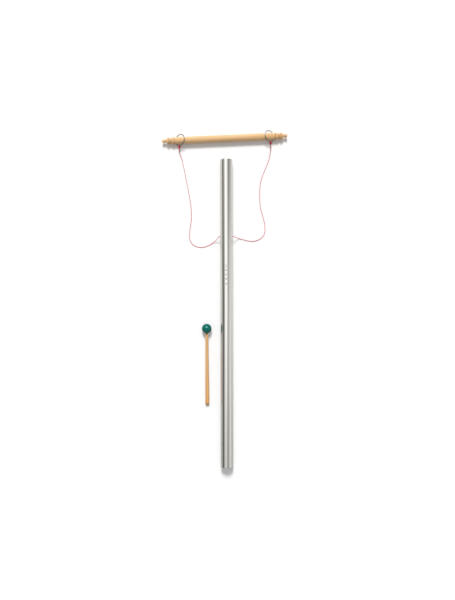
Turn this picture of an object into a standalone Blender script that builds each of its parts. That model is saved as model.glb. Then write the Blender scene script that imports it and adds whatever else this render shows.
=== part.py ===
"""Tuning pipe lying on a table, with its turned handle, two rings, hanging cord and mallet.

Metres, +Z up. The origin is the middle of the pipe's underside, and +Y runs along the pipe
towards the handle. Every piece is at its real size and where it lies on the table.
"""

import math

import bmesh
import bpy
from mathutils import Matrix, Vector

# Pipe: a drawn aluminium tube with one cross-hole for the cord
PIPE_LENGTH = 0.800
PIPE_DIAMETER = 0.032
PIPE_WALL = 0.002
PIPE_EDGE = 0.0004
HOLE_FROM_END = 0.200
HOLE_DIAMETER = 0.003

# Handle: a turned bar, its sizes listed from the middle to the end
BAR_LENGTH = 0.328
BAR_DIAMETER = 0.0175
COVE_WIDTH = 0.0046
COVE_DEPTH = 0.00125
COLLAR_SWELL = 0.0002
BARREL_LENGTH = 0.0082
BARREL_SWELL = 0.0006
BARREL_DROP = 0.0006
GROOVE_WIDTH = 0.0034
GROOVE_DIAMETER = 0.0124
BEAD_LENGTH = 0.0105
BEAD_DIAMETER = 0.0166
WAIST_LENGTH = 0.0018
WAIST_DIAMETER = 0.0064
KNOB_LENGTH = 0.0086
KNOB_DIAMETER = 0.0092
BAR_CENTRE = (-0.0039, 0.4574)
BAR_TURN = math.radians(2.4)

# Rings: welded steel wire, loose round the bar's coves
RING_INSIDE = 0.0275
RING_WIRE = 0.002
RING_SLIP = 0.0012
RING_TWIST = {"left": math.radians(-8.0), "right": math.radians(6.0)}

# Cord and the knots at its two ends
CORD_DIAMETER = 0.0015
KNOT_LENGTH = 0.0093
KNOT_DIAMETER = 0.0058
KNOT_END = 0.0020
KNOT_ABOVE_WIRE = 0.0025

# Mallet: a lacquered ball on a tapered stick
BALL_DIAMETER = 0.0254
BALL_CENTRE = (-0.0521, -0.0399)
STICK_LENGTH = 0.1858
STICK_HEAD_DIAMETER = 0.0072
STICK_BUTT_DIAMETER = 0.0102
SHOULDER_ROUND = 0.0012
BUTT_ROUND = 0.0040
TENON_DIAMETER = 0.0050
TENON_SHOWING = 0.0030
TENON_DEPTH = 0.0120
MALLET_TURN = math.radians(0.30)

# Clearance wherever one piece lies on or in another
SEAT_GAP = 0.0003

# Facets round each turned shape
PIPE_SIDES = 64
BAR_SIDES = 28
RING_SEGMENTS = 40
WIRE_SIDES = 10
KNOT_SIDES = 16
STICK_SIDES = 24
BALL_SEGMENTS = 32

# Worked-out heights and places
AXIS_HEIGHT = PIPE_DIAMETER / 2
HOLE_Y = PIPE_LENGTH / 2 - HOLE_FROM_END
COVE_RADIUS = BAR_DIAMETER / 2 - COVE_DEPTH
BAR_HEIGHT = RING_WIRE + SEAT_GAP + COVE_RADIUS
RING_MEAN = RING_INSIDE + RING_WIRE
RING_LEAN = math.asin((2 * (COVE_RADIUS + SEAT_GAP) + RING_WIRE) / RING_MEAN)
RING_SPAN = RING_MEAN * math.cos(RING_LEAN)
END_LENGTH = KNOB_LENGTH + WAIST_LENGTH + BEAD_LENGTH + GROOVE_WIDTH + BARREL_LENGTH
OUTER_COVE = BAR_LENGTH / 2 - END_LENGTH - COVE_WIDTH / 2
INNER_COVE = OUTER_COVE - RING_SPAN
RING_PLACE = (OUTER_COVE + INNER_COVE) / 2
SIDES = {"left": -1, "right": 1}


def new_collection(name):
    collection = bpy.data.collections.new(name)
    bpy.context.scene.collection.children.link(collection)
    return collection


def material(name, colour, roughness, metallic):
    made = bpy.data.materials.new(name)
    made.use_nodes = True
    shader = made.node_tree.nodes["Principled BSDF"]
    shader.inputs["Base Color"].default_value = (*colour, 1)
    shader.inputs["Roughness"].default_value = roughness
    shader.inputs["Metallic"].default_value = metallic
    return made


def add(name, data, collection, finish=None, at=(0, 0, 0), turn=(0, 0, 0), pivot=None):
    """An object at a place on the table, held by a pivot if it moves."""
    piece = bpy.data.objects.new(name, data)
    collection.objects.link(piece)
    if finish:
        data.materials.append(finish)
    piece.rotation_euler = turn
    piece.location = at
    if pivot:
        piece.parent = pivot
        piece.location = Vector(at) - pivot.location
    return piece


def add_pivot(name, at):
    pivot = bpy.data.objects.new(name, None)
    parts.objects.link(pivot)
    pivot.location = at
    return pivot


def as_cutter(cutter):
    cutter.hide_render = True
    cutter.display_type = "WIRE"
    return cutter


def cut(piece, cutter):
    removal = piece.modifiers.new("cut_" + cutter.name, "BOOLEAN")
    removal.operation = "DIFFERENCE"
    removal.solver = "EXACT"
    removal.object = cutter


def outline(name, profile, closed=False):
    """A mesh of edges through a turned profile of (radius, height) points, from top to bottom."""
    mesh = bpy.data.meshes.new(name)
    edges = [(i, i + 1) for i in range(len(profile) - 1)]
    if closed:
        edges.append((len(profile) - 1, 0))
    mesh.from_pydata([(radius, 0, height) for radius, height in profile], edges, [])
    return mesh


def turn_on_lathe(piece, sides):
    screw = piece.modifiers.new("lathe", "SCREW")
    screw.steps = sides
    screw.render_steps = sides
    screw.use_merge_vertices = True
    screw.merge_threshold = 0.00001
    screw.use_smooth_shade = True


def smooth(mesh):
    mesh.shade_smooth()
    mesh.set_sharp_from_angle(angle=math.radians(40))


def cylinder(name, diameter, length, sides):
    mesh = bpy.data.meshes.new(name)
    shape = bmesh.new()
    bmesh.ops.create_cone(
        shape,
        cap_ends=True,
        segments=sides,
        radius1=diameter / 2,
        radius2=diameter / 2,
        depth=length,
    )
    shape.to_mesh(mesh)
    shape.free()
    return mesh


def torus(name, mean_diameter, wire_diameter, segments, sides):
    """A ring about the local Z axis: a wire circle spun round it."""
    mesh = bpy.data.meshes.new(name)
    shape = bmesh.new()
    bmesh.ops.create_circle(shape, radius=wire_diameter / 2, segments=sides)
    bmesh.ops.rotate(shape, verts=shape.verts, matrix=Matrix.Rotation(math.pi / 2, 3, "X"))
    bmesh.ops.translate(shape, verts=shape.verts, vec=(mean_diameter / 2, 0, 0))
    bmesh.ops.spin(
        shape,
        geom=shape.verts[:] + shape.edges[:],
        cent=(0, 0, 0),
        axis=(0, 0, 1),
        angle=2 * math.pi,
        steps=segments,
        use_merge=True,
    )
    bmesh.ops.remove_doubles(shape, verts=shape.verts, dist=0.00001)
    bmesh.ops.recalc_face_normals(shape, faces=shape.faces)
    shape.to_mesh(mesh)
    shape.free()
    smooth(mesh)
    return mesh


def arc(start, end, swell, steps):
    """Points after start up to end along a circle that stands swell out from their chord.

    A negative swell hollows the chord instead.
    """
    (r0, h0), (r1, h1) = start, end
    half = math.dist(start, end) / 2
    radius = (half**2 + swell**2) / (2 * abs(swell))
    opening = 2 * math.asin(min(1.0, half / radius))
    if abs(swell) > half:
        opening = 2 * math.pi - opening
    middle = Vector(((r0 + r1) / 2, (h0 + h1) / 2))
    outward = Vector((h0 - h1, r1 - r0)).normalized() * math.copysign(1, swell)
    centre = middle - outward * (radius - abs(swell))
    spoke = Vector(start) - centre
    points = []
    for step in range(1, steps + 1):
        angle = -math.copysign(opening, swell) * step / steps
        points.append(
            (
                centre.x + spoke.x * math.cos(angle) - spoke.y * math.sin(angle),
                centre.y + spoke.x * math.sin(angle) + spoke.y * math.cos(angle),
            )
        )
    return points


def bar_end_profile():
    """One half of the turned bar as (radius, distance from the middle), from its tip inwards."""
    body = BAR_DIAMETER / 2
    knob = KNOB_DIAMETER / 2
    waist = WAIST_DIAMETER / 2
    groove = GROOVE_DIAMETER / 2
    tip = BAR_LENGTH / 2
    knob_base = tip - KNOB_LENGTH
    bead_tip = knob_base - WAIST_LENGTH
    bead_base = bead_tip - BEAD_LENGTH
    barrel_tip = bead_base - GROOVE_WIDTH
    barrel_base = barrel_tip - BARREL_LENGTH
    bead_swell = BEAD_DIAMETER / 2 - (waist + groove) / 2
    points = [(0.0, tip)]
    points += arc(points[-1], (knob, tip - KNOB_LENGTH / 2), 0.2 * KNOB_LENGTH, 4)
    points += arc(points[-1], (waist, knob_base), 0.06 * KNOB_LENGTH, 3)
    points += [(waist, bead_tip)]
    points += arc(points[-1], (groove, bead_base), bead_swell, 7)
    points += [(groove, barrel_tip), (body - BARREL_DROP, barrel_tip)]
    points += arc(points[-1], (body, barrel_base), BARREL_SWELL, 4)
    points += arc(points[-1], (body, OUTER_COVE - COVE_WIDTH / 2), -COVE_DEPTH, 5)
    points += arc(points[-1], (body, INNER_COVE + COVE_WIDTH / 2), COLLAR_SWELL, 3)
    points += arc(points[-1], (body, INNER_COVE - COVE_WIDTH / 2), -COVE_DEPTH, 5)
    return points


def make_pipe():
    """The tube is turned with its flats across the nominal diameter, so that it lies on one."""
    corner = 1 / math.cos(math.pi / PIPE_SIDES)
    outer = PIPE_DIAMETER / 2 * corner
    inner = (PIPE_DIAMETER / 2 - PIPE_WALL) * corner
    end = PIPE_LENGTH / 2
    upper = [
        (inner, end - PIPE_EDGE),
        (inner + PIPE_EDGE, end),
        (outer - PIPE_EDGE, end),
        (outer, end - PIPE_EDGE),
    ]
    lower = [(radius, -height) for radius, height in reversed(upper)]
    half_facet = math.pi / PIPE_SIDES
    pipe = add(
        "pipe",
        outline("pipe", upper + lower, closed=True),
        parts,
        material("drawn_aluminium", (0.80, 0.81, 0.80), 0.22, 1.0),
        at=(0, 0, AXIS_HEIGHT),
        turn=(-math.pi / 2, half_facet, 0),
    )
    turn_on_lathe(pipe, PIPE_SIDES)
    drill = add(
        "cross_hole",
        cylinder("cross_hole", HOLE_DIAMETER, 2 * PIPE_DIAMETER, 20),
        cutters,
        at=(0, HOLE_Y, AXIS_HEIGHT),
        turn=(0, math.pi / 2, 0),
    )
    cut(pipe, as_cutter(drill))


def make_handle_bar(pivot):
    end = bar_end_profile()
    mirrored = [(radius, -height) for radius, height in reversed(end)]
    bar = add(
        "handle_bar",
        outline("handle_bar", end + mirrored),
        parts,
        material("beech", (0.86, 0.62, 0.38), 0.45, 0.0),
        at=(*BAR_CENTRE, BAR_HEIGHT),
        turn=(0, math.pi / 2, BAR_TURN),
        pivot=pivot,
    )
    turn_on_lathe(bar, BAR_SIDES)


def across(side):
    """The level direction from a ring's knot through its centre, which it tilts about."""
    turn = BAR_TURN + RING_TWIST[side]
    return Vector((-math.sin(turn), math.cos(turn), 0))


def ring_centre(side):
    along = Vector((math.cos(BAR_TURN), math.sin(BAR_TURN), 0))
    on_bar = Vector((*BAR_CENTRE, BAR_HEIGHT)) + along * SIDES[side] * RING_PLACE
    return on_bar + across(side) * RING_SLIP


def make_ring(side, steel, pivot):
    """Each ring leans from the table, under the bar's outer cove, over its inner cove."""
    shape = torus(side + "_ring", RING_MEAN, RING_WIRE, RING_SEGMENTS, WIRE_SIDES)
    lean = (0, SIDES[side] * RING_LEAN, BAR_TURN + RING_TWIST[side])
    add(side + "_ring", shape, parts, steel, ring_centre(side), lean, pivot)


def make_knot(side, cord_red, pivot):
    """A barrel knot along the cord, with the ring's wire passing through it."""
    top = KNOT_ABOVE_WIRE
    bottom = KNOT_ABOVE_WIRE - KNOT_LENGTH
    rim = KNOT_END / 2
    profile = [(0.0, top), (rim, top)]
    profile += arc(profile[-1], (rim, bottom), KNOT_DIAMETER / 2 - rim, 8)
    profile += [(0.0, bottom)]
    knot = add(
        side + "_knot",
        outline(side + "_knot", profile),
        parts,
        cord_red,
        at=ring_centre(side) - across(side) * RING_MEAN / 2,
        turn=(-math.pi / 2, 0, BAR_TURN + RING_TWIST[side]),
        pivot=pivot,
    )
    turn_on_lathe(knot, KNOT_SIDES)
    passage = RING_WIRE + 2 * SEAT_GAP
    wire = add(
        side + "_wire_passage",
        torus(side + "_wire_passage", RING_MEAN, passage, RING_SEGMENTS, WIRE_SIDES),
        cutters,
        at=ring_centre(side),
        turn=(0, SIDES[side] * RING_LEAN, BAR_TURN + RING_TWIST[side]),
    )
    cut(knot, as_cutter(wire))


def cord_end(side):
    reach = RING_MEAN / 2 + KNOT_LENGTH - KNOT_ABOVE_WIRE + SEAT_GAP
    return ring_centre(side) - across(side) * reach


def cord_route():
    """The cord from knot to knot, in metres, where it lies in loose curves on the table."""
    rest = CORD_DIAMETER / 2
    straight = 3 * CORD_DIAMETER
    wall = PIPE_DIAMETER / 2
    left_end = cord_end("left")
    right_end = cord_end("right")
    left = [
        left_end,
        left_end - across("left") * straight,
        (-0.1222, 0.4205, 0.0050),
        (-0.1196, 0.4125, 0.0010),
        (-0.1162, 0.4022, rest),
        (-0.1054, 0.3500, rest),
        (-0.0957, 0.2968, rest),
        (-0.0924, 0.2700, rest),
        (-0.0926, 0.2440, rest),
        (-0.0962, 0.2180, rest),
        (-0.0972, 0.1980, rest),
        (-0.0908, 0.1828, rest),
        (-0.0770, 0.1746, rest),
        (-0.0620, 0.1734, rest),
        (-0.0470, 0.1778, rest),
        (-0.0345, 0.1856, 0.0018),
        (-0.0265, 0.1919, 0.0072),
        (-0.0215, 0.1965, 0.0130),
    ]
    crossing = [
        (-wall - straight / 2, HOLE_Y, AXIS_HEIGHT),
        (-wall / 2, HOLE_Y, AXIS_HEIGHT),
        (wall / 2, HOLE_Y, AXIS_HEIGHT),
        (wall + straight / 2, HOLE_Y, AXIS_HEIGHT),
    ]
    right = [
        (0.0220, 0.1990, 0.0128),
        (0.0275, 0.1976, 0.0068),
        (0.0350, 0.1958, 0.0018),
        (0.0460, 0.1926, rest),
        (0.0620, 0.1892, rest),
        (0.0775, 0.1900, rest),
        (0.0920, 0.1978, rest),
        (0.1000, 0.2090, rest),
        (0.1012, 0.2280, rest),
        (0.0970, 0.2500, rest),
        (0.0905, 0.2730, rest),
        (0.0880, 0.3000, rest),
        (0.0882, 0.3270, rest),
        (0.0924, 0.3525, rest),
        (0.1112, 0.4000, rest),
        (0.1144, 0.4130, 0.0010),
        (0.1155, 0.4225, 0.0045),
        right_end - across("right") * straight,
        right_end,
    ]
    return [Vector(point) for point in left + crossing + right]


def smooth_route(route, steps, lowest):
    """Points of a Catmull-Rom curve through the route, with steps points to each stretch."""
    padded = [2 * route[0] - route[1], *route, 2 * route[-1] - route[-2]]
    points = [route[0]]
    for before, start, end, after in zip(padded, padded[1:], padded[2:], padded[3:]):
        span = (end - start).length
        leave = (end - before).normalized() * span
        arrive = (after - start).normalized() * span
        for step in range(1, steps + 1):
            t = step / steps
            point = start * (2 * t**3 - 3 * t**2 + 1) + end * (3 * t**2 - 2 * t**3)
            point = point + leave * (t**3 - 2 * t**2 + t) + arrive * (t**3 - t**2)
            point.z = max(point.z, lowest)
            points.append(point)
    return points


def make_cord(cord_red, pivot):
    data = bpy.data.curves.new("cord", "CURVE")
    data.dimensions = "3D"
    data.bevel_depth = CORD_DIAMETER / 2
    data.bevel_resolution = 2
    data.use_fill_caps = True
    points = smooth_route(cord_route(), 2, CORD_DIAMETER / 2)
    spline = data.splines.new("POLY")
    spline.points.add(len(points) - 1)
    for place, point in zip(spline.points, points):
        place.co = (*(point - pivot.location), 1)
    add("cord", data, parts, cord_red, pivot.location, pivot=pivot)


def shoulder_reach():
    """From the ball's centre to the stick's shoulder, with some tenon showing between them."""
    bore = TENON_DIAMETER / 2 + SEAT_GAP
    return math.sqrt((BALL_DIAMETER / 2) ** 2 - bore**2) + TENON_SHOWING


def mallet_slope():
    """The stick slopes down from the ball's centre until its butt touches the table."""
    touch = shoulder_reach() + STICK_LENGTH - BUTT_ROUND
    butt = STICK_BUTT_DIAMETER / 2
    return math.asin(BALL_DIAMETER / 2 / math.hypot(touch, butt)) - math.atan2(butt, touch)


def make_stick(at, turn, pivot):
    head = STICK_HEAD_DIAMETER / 2
    butt = STICK_BUTT_DIAMETER / 2
    tenon = TENON_DIAMETER / 2
    tenon_end = STICK_LENGTH + TENON_SHOWING + TENON_DEPTH
    profile = [(0.0, tenon_end), (tenon, tenon_end), (tenon, STICK_LENGTH)]
    profile += arc(profile[-1], (head, STICK_LENGTH - SHOULDER_ROUND), SHOULDER_ROUND / 4, 4)
    profile += [(butt, BUTT_ROUND)]
    profile += arc(profile[-1], (0.0, 0.0), 0.3 * BUTT_ROUND, 6)
    stick = add(
        "mallet_stick",
        outline("mallet_stick", profile),
        parts,
        material("stick_beech", (0.80, 0.52, 0.27), 0.5, 0.0),
        at,
        turn,
        pivot,
    )
    turn_on_lathe(stick, STICK_SIDES)


def make_ball(at, turn, towards_ball, pivot):
    """A solid ball with a blind hole for the tenon."""
    radius = BALL_DIAMETER / 2
    mesh = bpy.data.meshes.new("mallet_ball")
    shape = bmesh.new()
    bmesh.ops.create_uvsphere(
        shape, u_segments=BALL_SEGMENTS, v_segments=BALL_SEGMENTS // 2, radius=radius
    )
    shape.to_mesh(mesh)
    shape.free()
    smooth(mesh)
    green = material("green_lacquer", (0.0, 0.20, 0.13), 0.3, 0.0)
    ball = add("mallet_ball", mesh, parts, green, at, turn, pivot)
    hole_bottom = shoulder_reach() - TENON_SHOWING - TENON_DEPTH - SEAT_GAP
    drill_length = BALL_DIAMETER
    drill = add(
        "ball_bore",
        cylinder("ball_bore", TENON_DIAMETER + 2 * SEAT_GAP, drill_length, STICK_SIDES),
        cutters,
        at=at - towards_ball * (hole_bottom + drill_length / 2),
        turn=turn,
    )
    cut(ball, as_cutter(drill))


def make_mallet():
    slope = mallet_slope()
    turn = (slope - math.pi / 2, 0, MALLET_TURN)
    level = Vector((-math.sin(MALLET_TURN), math.cos(MALLET_TURN), 0))
    towards_ball = level * math.cos(slope) + Vector((0, 0, math.sin(slope)))
    ball_centre = Vector((*BALL_CENTRE, BALL_DIAMETER / 2))
    butt_end = ball_centre - towards_ball * (shoulder_reach() + STICK_LENGTH)
    pivot = add_pivot("mallet_pivot", (butt_end.x, butt_end.y, 0))
    make_stick(butt_end, turn, pivot)
    make_ball(ball_centre, turn, towards_ball, pivot)


for old in list(bpy.data.objects):
    bpy.data.objects.remove(old, do_unlink=True)

parts = new_collection("tuning_pipe")
cutters = new_collection("cutters")

make_pipe()
hanging = add_pivot("hanging_pivot", (0, HOLE_Y, AXIS_HEIGHT))
make_handle_bar(hanging)
nickelled_steel = material("nickelled_steel", (0.55, 0.55, 0.56), 0.25, 1.0)
red_cord = material("red_cord", (0.55, 0.02, 0.05), 0.7, 0.0)
for name in SIDES:
    make_ring(name, nickelled_steel, hanging)
    make_knot(name, red_cord, hanging)
make_cord(red_cord, hanging)
make_mallet()
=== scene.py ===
import math

import bmesh
import bpy
from mathutils import Matrix, Vector


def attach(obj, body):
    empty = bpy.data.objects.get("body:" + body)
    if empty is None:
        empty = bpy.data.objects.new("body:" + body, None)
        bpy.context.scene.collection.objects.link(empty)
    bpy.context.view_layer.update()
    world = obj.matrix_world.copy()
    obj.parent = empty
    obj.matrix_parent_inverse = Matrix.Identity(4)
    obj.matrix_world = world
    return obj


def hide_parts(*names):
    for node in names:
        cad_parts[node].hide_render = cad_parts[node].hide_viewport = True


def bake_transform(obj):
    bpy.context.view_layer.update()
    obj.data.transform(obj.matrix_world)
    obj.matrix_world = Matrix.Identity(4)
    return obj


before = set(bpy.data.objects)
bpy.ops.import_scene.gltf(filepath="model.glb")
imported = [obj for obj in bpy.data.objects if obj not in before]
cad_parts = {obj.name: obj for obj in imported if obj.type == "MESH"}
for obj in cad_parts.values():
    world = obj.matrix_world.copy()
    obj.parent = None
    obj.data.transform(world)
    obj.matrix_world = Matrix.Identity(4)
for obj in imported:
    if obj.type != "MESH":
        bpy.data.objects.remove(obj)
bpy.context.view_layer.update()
scene = bpy.context.scene
scene.view_settings.view_transform = "Standard"


# Camera. It looks straight down on the table from 1.6 m above the pipe's middle, and the top of
# the picture is towards the handle.
camera_data = bpy.data.cameras.new("camera")
camera_data.sensor_fit = "VERTICAL"
camera_data.sensor_height = 36
camera_data.lens = 36.6
camera = bpy.data.objects.new("camera", camera_data)
camera.location = (0.00242, 0.03456, 1.60713)
camera.rotation_euler = (0, 0, -0.00212)
scene.collection.objects.link(camera)
scene.camera = camera


# Cord. One red cord, laid from three strands, runs from the left ring through the pipe's
# cross-hole to the right ring, and lies on the table in the loose curves it was put down in.
CORD_DIAMETER = 0.0015
CORD_LAY = 0.0046
CORD_ROUTE = [
    (-0.123175, 0.431934, 0.0098),
    (-0.123614, 0.427455, 0.0098),
    (-0.1222, 0.4205, 0.0050),
    (-0.1196, 0.4125, 0.0010),
    (-0.1162, 0.4022, 0.00075),
    (-0.1054, 0.3500, 0.00075),
    (-0.0957, 0.2968, 0.00075),
    (-0.0924, 0.2700, 0.00075),
    (-0.0926, 0.2440, 0.00075),
    (-0.0962, 0.2180, 0.00075),
    (-0.0972, 0.1980, 0.00075),
    (-0.0908, 0.1828, 0.00075),
    (-0.0770, 0.1746, 0.00075),
    (-0.0620, 0.1734, 0.00075),
    (-0.0470, 0.1778, 0.00075),
    (-0.0345, 0.1856, 0.0018),
    (-0.0265, 0.1919, 0.0072),
    (-0.0215, 0.1965, 0.0130),
    (-0.01825, 0.2000, 0.0160),
    (-0.0080, 0.2000, 0.0160),
    (0.0080, 0.2000, 0.0160),
    (0.01825, 0.2000, 0.0160),
    (0.0220, 0.1990, 0.0128),
    (0.0275, 0.1976, 0.0068),
    (0.0350, 0.1958, 0.0018),
    (0.0460, 0.1926, 0.00075),
    (0.0620, 0.1892, 0.00075),
    (0.0775, 0.1900, 0.00075),
    (0.0920, 0.1978, 0.00075),
    (0.1000, 0.2090, 0.00075),
    (0.1012, 0.2280, 0.00075),
    (0.0970, 0.2500, 0.00075),
    (0.0905, 0.2730, 0.00075),
    (0.0880, 0.3000, 0.00075),
    (0.0882, 0.3270, 0.00075),
    (0.0924, 0.3525, 0.00075),
    (0.1112, 0.4000, 0.00075),
    (0.1144, 0.4130, 0.0010),
    (0.1155, 0.4225, 0.0045),
    (0.117033, 0.437434, 0.0098),
    (0.116376, 0.441886, 0.0098),
]


def smooth_route(route, steps, lowest):
    """Points of a Catmull-Rom curve through the route, with steps points to each stretch."""
    route = [Vector(point) for point in route]
    padded = [2 * route[0] - route[1], *route, 2 * route[-1] - route[-2]]
    points = [route[0]]
    for before, start, end, after in zip(padded, padded[1:], padded[2:], padded[3:]):
        span = (end - start).length
        leave = (end - before).normalized() * span
        arrive = (after - start).normalized() * span
        for step in range(1, steps + 1):
            t = step / steps
            point = start * (2 * t**3 - 3 * t**2 + 1) + end * (3 * t**2 - 2 * t**3)
            point = point + leave * (t**3 - 2 * t**2 + t) + arrive * (t**3 - t**2)
            point.z = max(point.z, lowest)
            points.append(point)
    return points


def new_piece(name, mesh, finish):
    mesh.materials.clear()
    mesh.materials.append(finish)
    piece = bpy.data.objects.new(name, mesh)
    scene.collection.objects.link(piece)
    return piece


def laid_cord(name, centreline, finish):
    """Three strands twisted round a centreline, as one mesh."""
    strand_radius = CORD_DIAMETER / 2 / (1 + 2 / math.sqrt(3))
    offset = CORD_DIAMETER / 2 - strand_radius
    curve = bpy.data.curves.new(name, "CURVE")
    curve.dimensions = "3D"
    curve.bevel_depth = strand_radius
    curve.bevel_resolution = 1
    curve.use_fill_caps = True
    for strand in range(3):
        spline = curve.splines.new("POLY")
        spline.points.add(len(centreline) - 1)
        normal = Vector((0, 0, 1))
        travelled = 0.0
        for i, point in enumerate(centreline):
            before = centreline[max(i - 1, 0)]
            after = centreline[min(i + 1, len(centreline) - 1)]
            along = (after - before).normalized()
            normal = (normal - along * normal.dot(along)).normalized()
            travelled += (point - before).length
            turn = 2 * math.pi * (travelled / CORD_LAY + strand / 3)
            out = normal * math.cos(turn) + along.cross(normal) * math.sin(turn)
            spline.points[i].co = (*(point + out * offset), 1)
    drawn = bpy.data.objects.new(name, curve)
    scene.collection.objects.link(drawn)
    bpy.context.view_layer.update()
    graph = bpy.context.evaluated_depsgraph_get()
    mesh = bpy.data.meshes.new_from_object(drawn.evaluated_get(graph))
    bpy.data.objects.remove(drawn, do_unlink=True)
    mesh.shade_smooth()
    return new_piece(name, mesh, finish)


def node(tree, kind, **values):
    """A shader node with its settings and inputs by name: a socket is linked, a value is set."""
    made = tree.nodes.new("ShaderNode" + kind)
    for name, value in values.items():
        if name in made.bl_rna.properties:
            setattr(made, name, value)
            continue
        socket = next(
            s for s in made.inputs if name in (s.identifier, s.name.replace(" ", "_"))
        )
        if isinstance(value, bpy.types.NodeSocket):
            tree.links.new(value, socket)
        else:
            socket.default_value = value
    return made


def new_finish(name, **values):
    """A material with a Principled shader, its node tree and its Object coordinates."""
    made = bpy.data.materials.new(name)
    made.use_nodes = True
    tree = made.node_tree
    shader = tree.nodes["Principled BSDF"]
    for key, value in values.items():
        shader.inputs[key.replace("_", " ")].default_value = value
    coordinates = node(tree, "TexCoord").outputs["Object"]
    return made, tree, shader, coordinates


def colours(tree, factor, *stops):
    """A colour ramp of (place, colour) stops."""
    ramp = node(tree, "ValToRGB", Fac=factor)
    band = ramp.color_ramp
    while len(band.elements) < len(stops):
        band.elements.new(1)
    for element, (place, colour) in zip(band.elements, stops):
        element.position = place
        element.color = (*colour, 1)
    return ramp.outputs["Color"]


def roughen(tree, shader, height, distance):
    bump = node(tree, "Bump", Height=height, Distance=distance, Strength=1.0)
    tree.links.new(bump.outputs["Normal"], shader.inputs["Normal"])


red_cord, tree, shader, coordinates = new_finish(
    "red_cord", Roughness=0.72, Specular_IOR_Level=0.2
)
fibres = node(tree, "TexNoise", Vector=coordinates, Scale=2600, Detail=3, Roughness=0.6)
dye = node(tree, "TexNoise", Vector=coordinates, Scale=60, Detail=2)
shade = node(tree, "Math", operation="MULTIPLY_ADD", Value=fibres.outputs["Fac"])
shade.inputs[1].default_value = 0.7
tree.links.new(dye.outputs["Fac"], shade.inputs[2])
tree.links.new(
    colours(
        tree,
        shade.outputs[0],
        (0.45, (0.44, 0.004, 0.018)),
        (0.85, (0.58, 0.007, 0.038)),
        (1.0, (0.68, 0.035, 0.08)),
    ),
    shader.inputs["Base Color"],
)
roughen(tree, shader, fibres.outputs["Fac"], 0.00008)

centreline = smooth_route(CORD_ROUTE, 36, CORD_DIAMETER / 2)
cord = laid_cord("hanging_cord", centreline, red_cord)
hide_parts("cord")
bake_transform(cord)


# Pipe. A drawn aluminium tube, cut off square, with its end edges broken and one hole drilled
# across it for the cord. A short column of engraved tick marks runs along its top.
PIPE_LENGTH = 0.800
PIPE_RADIUS = 0.016
PIPE_WALL = 0.002
PIPE_EDGE = 0.0004
EDGE_SWELL = PIPE_EDGE * 0.2
HOLE_Y = 0.200
HOLE_DIAMETER = 0.003
MARKS = [0.0766, 0.0889, 0.1003, 0.1120, 0.1198, 0.1249]
DOUBLE_MARKS = 4
LINE_LENGTH, LINE_WIDTH, LINE_DEPTH = 0.0052, 0.0011, 0.0004
LINE_X = -0.0006


def arc(start, end, swell, steps):
    """Points after start up to end along a circle that stands swell out from their chord.

    A negative swell hollows the chord instead.
    """
    (r0, h0), (r1, h1) = start, end
    half = math.dist(start, end) / 2
    radius = (half**2 + swell**2) / (2 * abs(swell))
    opening = 2 * math.asin(min(1.0, half / radius))
    if abs(swell) > half:
        opening = 2 * math.pi - opening
    middle = Vector(((r0 + r1) / 2, (h0 + h1) / 2))
    outward = Vector((h0 - h1, r1 - r0)).normalized() * math.copysign(1, swell)
    centre = middle - outward * (radius - abs(swell))
    spoke = Vector(start) - centre
    points = []
    for step in range(1, steps + 1):
        angle = -math.copysign(opening, swell) * step / steps
        points.append(
            (
                centre.x + spoke.x * math.cos(angle) - spoke.y * math.sin(angle),
                centre.y + spoke.x * math.sin(angle) + spoke.y * math.cos(angle),
            )
        )
    return points


def turned(name, profile, steps, place, closed=False):
    """A mesh spun from a profile of (radius, height) points about the axis that place sets."""
    shape = bmesh.new()
    points = [shape.verts.new((radius, 0, height)) for radius, height in profile]
    if closed:
        points.append(points[0])
    for start, end in zip(points, points[1:]):
        shape.edges.new((start, end))
    bmesh.ops.spin(
        shape,
        geom=shape.verts[:] + shape.edges[:],
        cent=(0, 0, 0),
        axis=(0, 0, 1),
        angle=2 * math.pi,
        steps=steps,
        use_merge=True,
    )
    bmesh.ops.remove_doubles(shape, verts=shape.verts, dist=0.000002)
    bmesh.ops.recalc_face_normals(shape, faces=shape.faces)
    mesh = bpy.data.meshes.new(name)
    shape.to_mesh(mesh)
    shape.free()
    mesh.transform(place)
    mesh.shade_smooth()
    mesh.set_sharp_from_angle(angle=math.radians(35))
    return mesh


def cut_away(piece, cutter_mesh):
    """Takes the cutter's shape out of a piece, with the cutter's finish left in the cut."""
    cutter = bpy.data.objects.new("cutter", cutter_mesh)
    scene.collection.objects.link(cutter)
    removal = piece.modifiers.new("cut", "BOOLEAN")
    removal.operation = "DIFFERENCE"
    removal.solver = "EXACT"
    removal.material_mode = "TRANSFER"
    removal.object = cutter
    bpy.context.view_layer.update()
    graph = bpy.context.evaluated_depsgraph_get()
    mesh = bpy.data.meshes.new_from_object(piece.evaluated_get(graph))
    piece.modifiers.remove(removal)
    bpy.data.objects.remove(cutter, do_unlink=True)
    piece.data = mesh
    mesh.set_sharp_from_angle(angle=math.radians(35))


drawn_aluminium, tree, shader, coordinates = new_finish("drawn_aluminium", Metallic=1.0)
die_lines = node(tree, "Mapping", Vector=coordinates, Scale=(1500, 5, 1500))
lines = node(tree, "TexNoise", Vector=die_lines.outputs["Vector"], Scale=1.0, Detail=4)
handling = node(tree, "TexNoise", Vector=coordinates, Scale=28, Detail=5, Roughness=0.6)
tree.links.new(
    colours(
        tree,
        lines.outputs["Fac"],
        (0.30, (0.81, 0.805, 0.76)),
        (0.70, (0.905, 0.90, 0.85)),
    ),
    shader.inputs["Base Color"],
)
polish = node(tree, "MapRange", Value=handling.outputs["Fac"], To_Min=0.12, To_Max=0.18)
tree.links.new(polish.outputs["Result"], shader.inputs["Roughness"])
roughen(tree, shader, lines.outputs["Fac"], 0.000012)

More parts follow.
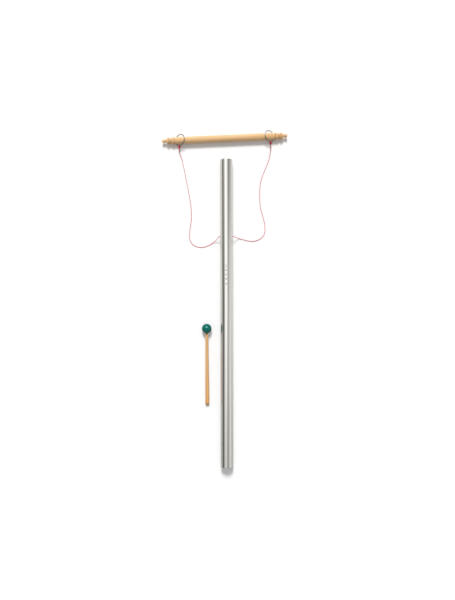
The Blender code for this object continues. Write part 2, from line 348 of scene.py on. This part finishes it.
engraved_line, tree, shader, coordinates = new_finish("engraved_line", Metallic=1.0)
burr = node(tree, "TexNoise", Vector=coordinates, Scale=4000, Detail=2)
tree.links.new(
    colours(
        tree, burr.outputs["Fac"], (0.3, (0.22, 0.22, 0.21)), (0.7, (0.38, 0.37, 0.36))
    ),
    shader.inputs["Base Color"],
)
shader.inputs["Roughness"].default_value = 0.55

end = PIPE_LENGTH / 2
inner = PIPE_RADIUS - PIPE_WALL
upper = [(inner, end - 2 * PIPE_EDGE), (inner, end - PIPE_EDGE)]
upper += arc(upper[-1], (inner + PIPE_EDGE, end), EDGE_SWELL, 2)
upper += [(PIPE_RADIUS - PIPE_EDGE, end)]
upper += arc(upper[-1], (PIPE_RADIUS, end - PIPE_EDGE), EDGE_SWELL, 2)
upper += [(PIPE_RADIUS, end - 2 * PIPE_EDGE)]
lower = [(radius, -height) for radius, height in reversed(upper)]
along_y = Matrix.Translation((0, 0, PIPE_RADIUS)) @ Matrix.Rotation(-math.pi / 2, 4, "X")
tube = new_piece(
    "aluminium_tube",
    turned("aluminium_tube", upper + lower, 192, along_y, closed=True),
    drawn_aluminium,
)

shape = bmesh.new()
bmesh.ops.create_cone(
    shape,
    cap_ends=True,
    segments=40,
    radius1=HOLE_DIAMETER / 2,
    radius2=HOLE_DIAMETER / 2,
    depth=4 * PIPE_RADIUS,
    matrix=Matrix.Translation((0, HOLE_Y, PIPE_RADIUS)) @ Matrix.Rotation(math.pi / 2, 4, "Y"),
)
drill = bpy.data.meshes.new("drill")
shape.to_mesh(drill)
shape.free()
drill.materials.append(drawn_aluminium)
cut_away(tube, drill)

shape = bmesh.new()
for count, mark in enumerate(MARKS):
    double = count < DOUBLE_MARKS
    cuts = [mark - LINE_WIDTH, mark + LINE_WIDTH] if double else [mark]
    for place in cuts:
        line = bmesh.ops.create_cube(shape, size=1)["verts"]
        bmesh.ops.scale(shape, vec=(LINE_LENGTH, LINE_WIDTH, 2 * LINE_DEPTH), verts=line)
        bmesh.ops.translate(shape, vec=(LINE_X, place, 2 * PIPE_RADIUS), verts=line)
graver = bpy.data.meshes.new("graver")
shape.to_mesh(graver)
shape.free()
graver.materials.append(engraved_line)
cut_away(tube, graver)
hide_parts("pipe")
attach(tube, "pipe")


# Handle. One beech bar, turned between centres, with a knob, a bead, a barrel and a cove at each
# end, and a second cove inside them that a ring lies in. It is sanded and satin varnished.
BAR_LENGTH = 0.328
BAR_DIAMETER = 0.0175
COVE_WIDTH = 0.0046
COVE_DEPTH = 0.00125
COLLAR_SWELL = 0.0002
BARREL_LENGTH = 0.0082
BARREL_SWELL = 0.0006
BARREL_DROP = 0.0006
GROOVE_WIDTH = 0.0034
GROOVE_DIAMETER = 0.0124
BEAD_LENGTH = 0.0105
BEAD_DIAMETER = 0.0166
WAIST_LENGTH = 0.0018
WAIST_DIAMETER = 0.0064
KNOB_LENGTH = 0.0086
KNOB_DIAMETER = 0.0092
TIP_SWELL, NECK_SWELL = 0.2 * KNOB_LENGTH, 0.06 * KNOB_LENGTH
OUTER_COVE, INNER_COVE = 0.1292, 0.105525
BAR_TURN = 2.4
BAR_PLACE = (
    Matrix.Translation((-0.0039, 0.4574, 0.0098))
    @ Matrix.Rotation(math.radians(BAR_TURN), 4, "Z")
    @ Matrix.Rotation(math.pi / 2, 4, "Y")
)


def wood(name, place, pale, mid, dark, **values):
    """Straight-grained wood: grain and short ray flecks run along the local Z of place."""
    made, tree, shader, coordinates = new_finish(name, **values)
    turn = place.to_euler()
    at_home = node(
        tree,
        "Mapping",
        vector_type="TEXTURE",
        Vector=coordinates,
        Location=place.to_translation(),
        Rotation=turn,
    ).outputs["Vector"]
    grain_way = node(tree, "Mapping", Vector=at_home, Scale=(520, 520, 14))
    grain = node(
        tree, "TexNoise", Vector=grain_way.outputs["Vector"], Scale=1, Detail=5, Roughness=0.6
    ).outputs["Fac"]
    figure_way = node(tree, "Mapping", Vector=at_home, Scale=(110, 110, 3.5))
    figure = node(
        tree, "TexNoise", Vector=figure_way.outputs["Vector"], Scale=1, Detail=3, Distortion=0.4
    ).outputs["Fac"]
    fleck_way = node(tree, "Mapping", Vector=at_home, Scale=(2200, 2200, 330))
    flecks = node(
        tree, "TexNoise", Vector=fleck_way.outputs["Vector"], Scale=1, Detail=1
    ).outputs["Fac"]
    blend = node(
        tree, "Mix", Factor_Float=0.55, A_Float=grain, B_Float=figure, data_type="FLOAT"
    ).outputs["Result"]
    base = colours(tree, blend, (0.34, dark), (0.50, mid), (0.64, pale))
    speck = colours(tree, flecks, (0.66, (1, 1, 1)), (0.74, (0.72, 0.60, 0.50)))
    mixed = node(
        tree,
        "Mix",
        data_type="RGBA",
        blend_type="MULTIPLY",
        Factor_Float=0.8,
        A_Color=base,
        B_Color=speck,
    ).outputs["Result"]
    along = node(tree, "SeparateXYZ", Vector=at_home).outputs["Z"]
    return made, tree, shader, mixed, grain, along


def darkened(tree, colour, along, length, dark_bands, tint):
    """A colour darkened in bands round the piece: (place, half width) along its length."""
    place = node(tree, "Math", operation="ABSOLUTE", Value=along).outputs[0]
    share = node(tree, "MapRange", Value=place, From_Max=length).outputs["Result"]
    stops = []
    for middle, reach in sorted(dark_bands):
        stops += [((middle - reach) / length, (1, 1, 1))]
        stops += [(middle / length, tint), ((middle + reach) / length, (1, 1, 1))]
    return node(
        tree,
        "Mix",
        data_type="RGBA",
        blend_type="MULTIPLY",
        Factor_Float=1.0,
        A_Color=colour,
        B_Color=colours(tree, share, *stops),
    ).outputs["Result"]


beech, tree, shader, mixed, grain, along = wood(
    "beech",
    BAR_PLACE,
    (0.85, 0.62, 0.345),
    (0.80, 0.55, 0.29),
    (0.73, 0.47, 0.225),
    Roughness=0.42,
    Specular_IOR_Level=0.12,
    Diffuse_Roughness=1.0,
)
# Painted shade, with some burnished finish, darkens narrow bands at the creases near each end of
# the bar.
dark_bands = [(0.1318, 0.0016), (0.1414, 0.0020), (0.1465, 0.0014), (0.1545, 0.0018)]
crease_shade_and_burnish = darkened(tree, mixed, along, BAR_LENGTH / 2, dark_bands, (0.62, 0.52, 0.45))
tree.links.new(crease_shade_and_burnish, shader.inputs["Base Color"])
roughen(tree, shader, grain, 0.00003)


def bar_end_profile():
    """One half of the turned bar as (radius, distance from the middle), from its tip inwards."""
    body = BAR_DIAMETER / 2
    knob = KNOB_DIAMETER / 2
    waist = WAIST_DIAMETER / 2
    groove = GROOVE_DIAMETER / 2
    tip = BAR_LENGTH / 2
    knob_base = tip - KNOB_LENGTH
    bead_tip = knob_base - WAIST_LENGTH
    bead_base = bead_tip - BEAD_LENGTH
    barrel_tip = bead_base - GROOVE_WIDTH
    barrel_base = barrel_tip - BARREL_LENGTH
    bead_swell = BEAD_DIAMETER / 2 - (waist + groove) / 2
    points = [(0.0, tip)]
    points += arc(points[-1], (knob, tip - KNOB_LENGTH / 2), TIP_SWELL, 10)
    points += arc(points[-1], (waist, knob_base), NECK_SWELL, 8)
    points += [(waist, bead_tip)]
    points += arc(points[-1], (groove, bead_base), bead_swell, 24)
    points += [(groove, barrel_tip), (body - BARREL_DROP, barrel_tip)]
    points += arc(points[-1], (body, barrel_base), BARREL_SWELL, 12)
    points += arc(points[-1], (body, OUTER_COVE - COVE_WIDTH / 2), -COVE_DEPTH, 12)
    points += arc(points[-1], (body, INNER_COVE + COVE_WIDTH / 2), COLLAR_SWELL, 8)
    points += arc(points[-1], (body, INNER_COVE - COVE_WIDTH / 2), -COVE_DEPTH, 12)
    return points


half_bar = bar_end_profile()
other_half = [(radius, -height) for radius, height in reversed(half_bar)]
bar = new_piece(
    "turned_handle", turned("turned_handle", half_bar + other_half, 96, BAR_PLACE), beech
)
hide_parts("handle_bar")
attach(bar, "handle")


# Rings. Two rings of nickelled steel wire, bent round and butt-welded. Each leans from the table,
# under the bar's outer cove and over its inner one, and is loose enough to tilt about.
RING_MEAN = 0.0295
RING_WIRE = 0.0020
RING_LEAN = math.radians(36.6275)
WELD_ANGLE = math.radians(60)
WELD_REACH, WELD_SWELL = 0.0011, 0.12
RING_PLACES = {
    "left": ((-0.121043, 0.453680, 0.0098), -RING_LEAN, math.radians(BAR_TURN - 8.0)),
    "right": ((0.113184, 0.463502, 0.0098), RING_LEAN, math.radians(BAR_TURN + 6.0)),
}

nickelled_steel, tree, shader, coordinates = new_finish("nickelled_steel", Metallic=1.0)
wear = node(tree, "TexNoise", Vector=coordinates, Scale=420, Detail=4, Roughness=0.65)
tree.links.new(
    colours(
        tree, wear.outputs["Fac"], (0.35, (0.20, 0.205, 0.22)), (0.65, (0.31, 0.315, 0.335))
    ),
    shader.inputs["Base Color"],
)
dulled = node(tree, "MapRange", Value=wear.outputs["Fac"], To_Min=0.26, To_Max=0.42)
tree.links.new(dulled.outputs["Result"], shader.inputs["Roughness"])
roughen(tree, shader, wear.outputs["Fac"], 0.00002)


def wire_ring(name, place):
    """A wire circle spun into a ring, with a low weld bead on the side away from the cord."""
    shape = bmesh.new()
    bmesh.ops.create_circle(shape, radius=RING_WIRE / 2, segments=20)
    bmesh.ops.rotate(shape, verts=shape.verts, matrix=Matrix.Rotation(math.pi / 2, 3, "X"))
    bmesh.ops.translate(shape, verts=shape.verts, vec=(RING_MEAN / 2, 0, 0))
    bmesh.ops.spin(
        shape,
        geom=shape.verts[:] + shape.edges[:],
        cent=(0, 0, 0),
        axis=(0, 0, 1),
        angle=2 * math.pi,
        steps=144,
        use_merge=True,
    )
    bmesh.ops.remove_doubles(shape, verts=shape.verts, dist=0.000002)
    bmesh.ops.recalc_face_normals(shape, faces=shape.faces)
    for corner in shape.verts:
        angle = math.atan2(corner.co.y, corner.co.x)
        from_weld = abs(angle - WELD_ANGLE) * RING_MEAN / 2
        swell = WELD_SWELL * max(0, 1 - (from_weld / WELD_REACH) ** 2)
        core = Vector((math.cos(angle), math.sin(angle), 0)) * RING_MEAN / 2
        corner.co += (corner.co - core) * swell
    mesh = bpy.data.meshes.new(name)
    shape.to_mesh(mesh)
    shape.free()
    mesh.transform(place)
    mesh.shade_smooth()
    return mesh


# Knots. Each end of the cord goes once round its ring's wire and is wrapped back round itself,
# and its cut end stands a little out of the last turn.
WRAP_RADIUS = 0.00212
LOOP_RADIUS = 0.00179
WRAP_FROM, WRAP_TO = 0.0019, 0.0060
WRAP_TURNS = 2.8
WRAP_PHASE = 0.6
KNOT_REACH = 0.0071
LEAD_STEP = 0.0007
CUT_END = [(0.0005, 1.10), (0.0012, 1.20)]


def knot_path(place):
    """The cord's last stretch, from below the knot up, round the wire and back in turns."""
    path = [(KNOT_REACH - LEAD_STEP * step, 0.0, 0.0) for step in range(8)]
    for step in range(1, 24):
        angle = math.radians(20 + 320 * step / 24)
        path.append((LOOP_RADIUS * math.cos(angle), LOOP_RADIUS * math.sin(angle), 0.0))
    for step in range(81):
        share = step / 80
        angle = -math.pi / 2 + 2 * math.pi * WRAP_TURNS * share
        reach = WRAP_FROM + (WRAP_TO - WRAP_FROM) * share
        out = Vector((math.cos(angle + WRAP_PHASE), math.sin(angle + WRAP_PHASE))) * WRAP_RADIUS
        path.append((reach, out.x, out.y))
    last = path[-1]
    for onward, outward in CUT_END:
        path.append((last[0] + onward, last[1] * outward, last[2] * outward))
    return smooth_route([place @ Vector(point) for point in path], 3, 0)


for side, (centre, lean, turn) in RING_PLACES.items():
    ring_place = (
        Matrix.Translation(centre)
        @ Matrix.Rotation(turn, 4, "Z")
        @ Matrix.Rotation(lean, 4, "Y")
    )
    name = side + "_wire_ring"
    ring = new_piece(name, wire_ring(name, ring_place), nickelled_steel)
    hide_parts(side + "_ring")
    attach(ring, side + "_ring")
    knot_place = (
        ring_place
        @ Matrix.Translation((0, -RING_MEAN / 2, 0))
        @ Matrix(((0, 0, 1, 0), (-1, 0, 0, 0), (0, 1, 0, 0), (0, 0, 0, 1)))
    )
    knot = laid_cord(side + "_cord_knot", knot_path(knot_place), red_cord)
    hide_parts(side + "_knot")
    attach(knot, side + "_ring")


# Mallet. A tapered beech stick, oiled, its tenon glued into a ball of lacquered green wood that
# is drilled for it. It lies on the ball and on the rounded butt of the stick.
BALL_RADIUS = 0.0127
STICK_LENGTH = 0.1858
HEAD_RADIUS = 0.0036
BUTT_RADIUS = 0.0051
BUTT_ROUND = 0.0040
SHOULDER_ROUND = 0.0012
TENON_RADIUS = 0.0025
TENON_SHOWING = 0.0030
TENON_DEPTH = 0.0120
BORE_RADIUS = 0.0028
BORE_SPARE = 0.0003
SHOULDER_REACH = math.sqrt(BALL_RADIUS**2 - BORE_RADIUS**2) + TENON_SHOWING
MALLET_TURN = math.radians(0.30)

touch = SHOULDER_REACH + STICK_LENGTH - BUTT_ROUND
slope = math.asin(BALL_RADIUS / math.hypot(touch, BUTT_RADIUS)) - math.atan2(BUTT_RADIUS, touch)
ball_place = (
    Matrix.Translation((-0.0521, -0.0399, BALL_RADIUS))
    @ Matrix.Rotation(MALLET_TURN, 4, "Z")
    @ Matrix.Rotation(slope - math.pi / 2, 4, "X")
)
stick_place = ball_place @ Matrix.Translation((0, 0, -SHOULDER_REACH - STICK_LENGTH))

stick_beech, tree, shader, mixed, grain, along = wood(
    "stick_beech",
    stick_place,
    (0.80, 0.52, 0.265),
    (0.72, 0.435, 0.195),
    (0.61, 0.34, 0.14),
    Roughness=0.5,
    Specular_IOR_Level=0.2,
)
# The stick is darker towards its butt, fading out over most of its length.
darker_towards_butt = darkened(tree, mixed, along, STICK_LENGTH, [(0.0, 0.160)], (0.90, 0.78, 0.62))
# End grain and painted shade darken the rounded butt.
butt_grain_and_shade = darkened(tree, darker_towards_butt, along, STICK_LENGTH, [(0.0, 0.0075)], (0.42, 0.36, 0.36))
# Painted shade darkens the tenon's showing part just under the ball.
tenon = (STICK_LENGTH + TENON_SHOWING / 2, TENON_SHOWING)
ball_shade_on_tenon = darkened(tree, butt_grain_and_shade, along, sum(tenon), [tenon], (0.25, 0.10, 0.07))
tree.links.new(ball_shade_on_tenon, shader.inputs["Base Color"])
roughen(tree, shader, grain, 0.00003)

tenon_end = STICK_LENGTH + TENON_SHOWING + TENON_DEPTH
profile = [(0.0, tenon_end), (TENON_RADIUS, tenon_end), (TENON_RADIUS, STICK_LENGTH)]
profile += arc(profile[-1], (HEAD_RADIUS, STICK_LENGTH - SHOULDER_ROUND), SHOULDER_ROUND / 4, 8)
taper = (BUTT_RADIUS - HEAD_RADIUS) / (STICK_LENGTH - SHOULDER_ROUND - BUTT_ROUND)
near_head = STICK_LENGTH - 2 * SHOULDER_ROUND
profile += [(HEAD_RADIUS + taper * SHOULDER_ROUND, near_head)]
profile += [(BUTT_RADIUS - taper * SHOULDER_ROUND, BUTT_ROUND + SHOULDER_ROUND)]
profile += [(BUTT_RADIUS, BUTT_ROUND)]
profile += arc(profile[-1], (0.0, 0.0), 0.3 * BUTT_ROUND, 14)
stick = new_piece("turned_stick", turned("turned_stick", profile, 64, stick_place), stick_beech)
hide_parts("mallet_stick")
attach(stick, "mallet")

green_lacquer, tree, shader, coordinates = new_finish(
    "green_lacquer", Roughness=0.12, Specular_IOR_Level=0.5, Specular_Tint=(0.5, 0.92, 1, 1)
)
brushed_on = node(tree, "TexNoise", Vector=coordinates, Scale=160, Detail=3)
tree.links.new(
    colours(
        tree, brushed_on.outputs["Fac"], (0.3, (0.0, 0.105, 0.078)), (0.7, (0.0, 0.135, 0.10))
    ),
    shader.inputs["Base Color"],
)
roughen(tree, shader, brushed_on.outputs["Fac"], 0.00004)

mouth = math.asin(BORE_RADIUS / BALL_RADIUS)
profile = []
for step in range(49):
    angle = (math.pi - mouth) * step / 48
    profile.append((BALL_RADIUS * math.sin(angle), BALL_RADIUS * math.cos(angle)))
bore_bottom = -SHOULDER_REACH + TENON_SHOWING + TENON_DEPTH + BORE_SPARE
profile += [(BORE_RADIUS, bore_bottom), (0.0, bore_bottom)]
ball = new_piece("lacquered_ball", turned("lacquered_ball", profile, 96, ball_place), green_lacquer)
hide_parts("mallet_ball")
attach(ball, "mallet")


# Table and light. A white matte table, one soft lamp beyond the handle and a little to the left,
# and a studio that only reflections see: a ceiling panel, a wing beside it towards the handle and
# two walls, which show as stripes in the pipe.
white_table, tree, shader, coordinates = new_finish(
    "white_table", Base_Color=(0.84, 0.84, 0.84, 1), Roughness=0.9
)
shader.inputs["Specular IOR Level"].default_value = 0.0
ray = node(tree, "LightPath")
along_table = node(tree, "SeparateXYZ", Vector=coordinates).outputs["Y"]
lamp_loss = node(
    tree, "MapRange", Value=along_table, From_Min=-2.5, From_Max=0.45, To_Min=0.23, To_Max=0.035
)
glow = node(tree, "Emission", Color=(1, 1, 1, 1), Strength=lamp_loss.outputs["Result"])
lit = node(tree, "AddShader")
tree.links.new(shader.outputs[0], lit.inputs[0])
tree.links.new(glow.outputs[0], lit.inputs[1])
# Reflections see the table darker than the camera does, and darker still towards the foot: painted
# shade.
towards_foot = node(tree, "MapRange", Value=along_table, From_Min=-0.35, From_Max=0.05)
painted_reflection_shade = colours(
    tree, towards_foot.outputs["Result"], (0.0, (0.47, 0.46, 0.44)), (1.0, (0.65, 0.64, 0.62))
)
mirrored = node(tree, "BsdfDiffuse", Color=painted_reflection_shade)
reflected = node(tree, "MixShader", Fac=ray.outputs["Is Glossy Ray"])
tree.links.new(shader.outputs[0], reflected.inputs[1])
tree.links.new(mirrored.outputs[0], reflected.inputs[2])
seen = node(tree, "MixShader", Fac=ray.outputs["Is Camera Ray"])
tree.links.new(reflected.outputs[0], seen.inputs[1])
tree.links.new(lit.outputs[0], seen.inputs[2])
tree.links.new(seen.outputs[0], tree.nodes["Material Output"].inputs["Surface"])

shape = bmesh.new()
bmesh.ops.create_grid(shape, x_segments=1, y_segments=1, size=2.5)
mesh = bpy.data.meshes.new("table")
shape.to_mesh(mesh)
shape.free()
table = new_piece("table", mesh, white_table)

LAMP_DISTANCE = 14.0
LAMP_SPREAD = 0.28
LAMP_STRENGTH = 9.5
lamp_data = bpy.data.lights.new("lamp", "AREA")
lamp_data.shape = "DISK"
lamp_data.size = LAMP_SPREAD * LAMP_DISTANCE
lamp_data.energy = LAMP_STRENGTH * LAMP_DISTANCE**2
lamp = bpy.data.objects.new("lamp", lamp_data)
lamp_way = Vector((-0.035, 0.68, 0.73)).normalized()
lamp.location = lamp_way * LAMP_DISTANCE
lamp.rotation_euler = lamp_way.to_track_quat("Z", "Y").to_euler()
scene.collection.objects.link(lamp)

world = bpy.data.worlds.new("studio")
scene.world = world
world.use_nodes = True
tree = world.node_tree
FILL = 0.45
FOOT, OVERHEAD, HEAD = -0.27, 0.0, 0.23


def grey(level):
    return (level, level, level)


def level_along(stops):
    """A level that changes with how far a direction leans from the foot's side to the handle's."""
    share = node(
        tree, "MapRange", Value=way.outputs["Y"], From_Min=FOOT, From_Max=HEAD
    ).outputs["Result"]
    return colours(
        tree, share, *[((place - FOOT) / (HEAD - FOOT), grey(level)) for place, level in stops]
    )


def level_across(angle, stops):
    """A level that changes with a direction's angle from straight up, from left to right."""
    share = node(
        tree, "MapRange", Value=angle, From_Min=-math.pi / 2, From_Max=math.pi / 2
    ).outputs["Result"]
    return colours(tree, share, *[((place + 90) / 180, grey(level)) for place, level in stops])


def combined(how, a, b):
    return node(
        tree, "Mix", data_type="RGBA", blend_type=how, Factor_Float=1.0, A_Color=a, B_Color=b
    ).outputs["Result"]


way = node(tree, "SeparateXYZ", Vector=node(tree, "TexCoord").outputs["Generated"])
sideways = node(
    tree, "Math", operation="ARCTAN2", Value=way.outputs["X"], Value_001=way.outputs["Z"]
).outputs[0]
slant = node(
    tree,
    "MapRange",
    Value=way.outputs["Y"],
    From_Min=FOOT,
    From_Max=OVERHEAD,
    To_Min=math.radians(14),
    To_Max=0,
)
slanted = node(tree, "Math", operation="ADD", Value=sideways, Value_001=slant.outputs["Result"])
studio = (0, 0, 0, 1)
panel_across = [(-54, 0.0), (-42, 0.09), (-33, 0.48), (-23, 1.0), (4, 1.0), (20, 0.44), (34, 0)]
panel_along = [(FOOT, 0.52), (-0.17, 0.70), (-0.08, 0.86), (OVERHEAD, 0.93), (HEAD, 0.95)]
wing_across = [(-80, 0.0), (-66, 0.11), (-52, 0.28), (-40, 0.32), (-24, 0.12)]
wing_across += [(0, 0.02), (16, 0.08), (34, 0.0)]
wing_along = [(OVERHEAD, 0.0), (0.083, 0.45), (0.15, 0.65), (HEAD, 1.0)]
left_across = [(-90, 0.34), (-76, 0.22), (-62, 0.13), (-40, 0.15), (0, 0.12), (10, 0.0)]
left_along = [(FOOT, 0.62), (-0.17, 0.76), (OVERHEAD, 1.0), (0.083, 0.95), (HEAD, 0.75)]
right_across = [(-30, 0.0), (0, 0.13), (36, 0.42), (55, 0.70), (80, 0.78), (90, 0.82)]
right_along = [(FOOT, 0.97), (-0.08, 1.04), (OVERHEAD, 1.0), (0.083, 0.86), (0.15, 0.66)]
right_along += [(HEAD, 0.52)]
for angle, across, along in (
    (slanted.outputs[0], panel_across, panel_along),
    (sideways, wing_across, wing_along),
    (sideways, left_across, left_along),
    (sideways, right_across, right_along),
):
    surface = combined("MULTIPLY", level_across(angle, across), level_along(along))
    studio = combined("ADD", studio, surface)
ray = node(tree, "LightPath")
reflected = node(
    tree,
    "Mix",
    data_type="RGBA",
    Factor_Float=ray.outputs["Is Glossy Ray"],
    A_Color=(*grey(FILL), 1),
    B_Color=studio,
)
backdrop = node(
    tree,
    "Mix",
    data_type="RGBA",
    Factor_Float=ray.outputs["Is Camera Ray"],
    A_Color=reflected.outputs["Result"],
    B_Color=(1, 1, 1, 1),
)
tree.links.new(backdrop.outputs["Result"], tree.nodes["Background"].inputs["Color"])

bpy.context.view_layer.update()
